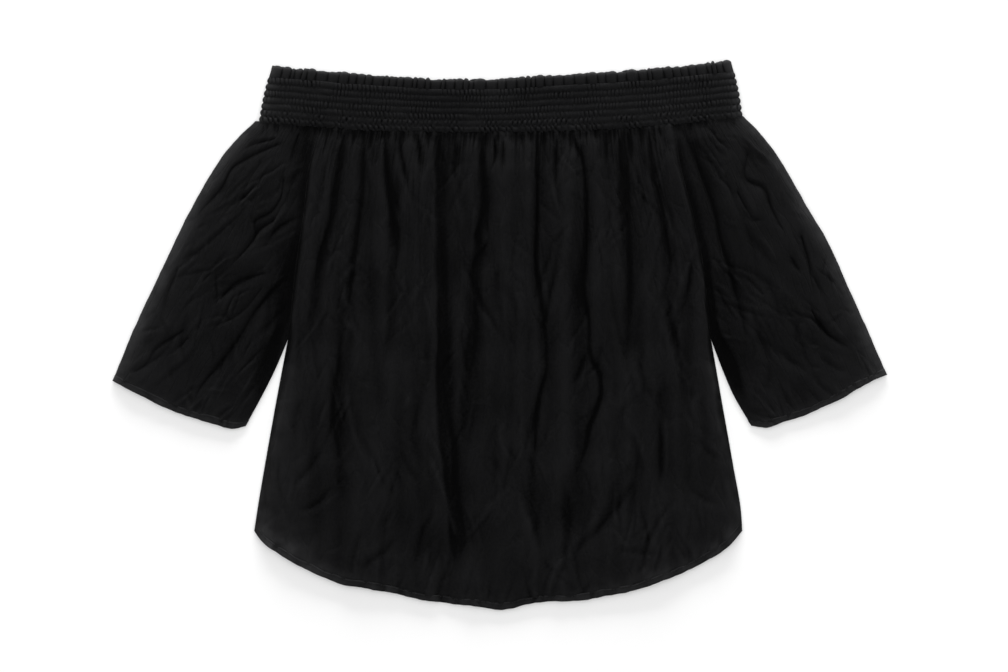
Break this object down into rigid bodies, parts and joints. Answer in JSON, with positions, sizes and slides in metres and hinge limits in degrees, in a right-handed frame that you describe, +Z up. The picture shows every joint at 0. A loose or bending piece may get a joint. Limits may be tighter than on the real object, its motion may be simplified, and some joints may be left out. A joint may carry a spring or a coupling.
{
  "type": "off-shoulder top",
  "caption": "Loose black off-shoulder top laid flat: shirred elastic neck band with a frilled edge, gathered body, elbow-length raglan sleeves and a curved shirt-tail hem.",
  "frame": {"origin": "centre of the footprint, on the surface that the garment lies on", "axes": "+Z up from the surface, through the back and then the front; +Y towards the neck; +X towards the wearer's left sleeve"},
  "size_m": [0.7744, 0.55, 0.0102],
  "materials": {
    "body_cloth": "matte black plain weave, lightly creased",
    "shirred_cloth": "matte black plain weave drawn up by rows of elastic thread",
    "hem_cloth": "matte black plain weave, turned twice and stitched"
  },
  "bodies": {
    "root": {"body_front": "body_cloth", "body_back": "body_cloth", "sleeve_left": "body_cloth", "sleeve_right": "body_cloth", "neck_band": "shirred_cloth", "neck_frill": "shirred_cloth", "hem_front": "hem_cloth", "hem_back": "hem_cloth", "cuff_left": "hem_cloth", "cuff_right": "hem_cloth"}
  },
  "joints": []
}
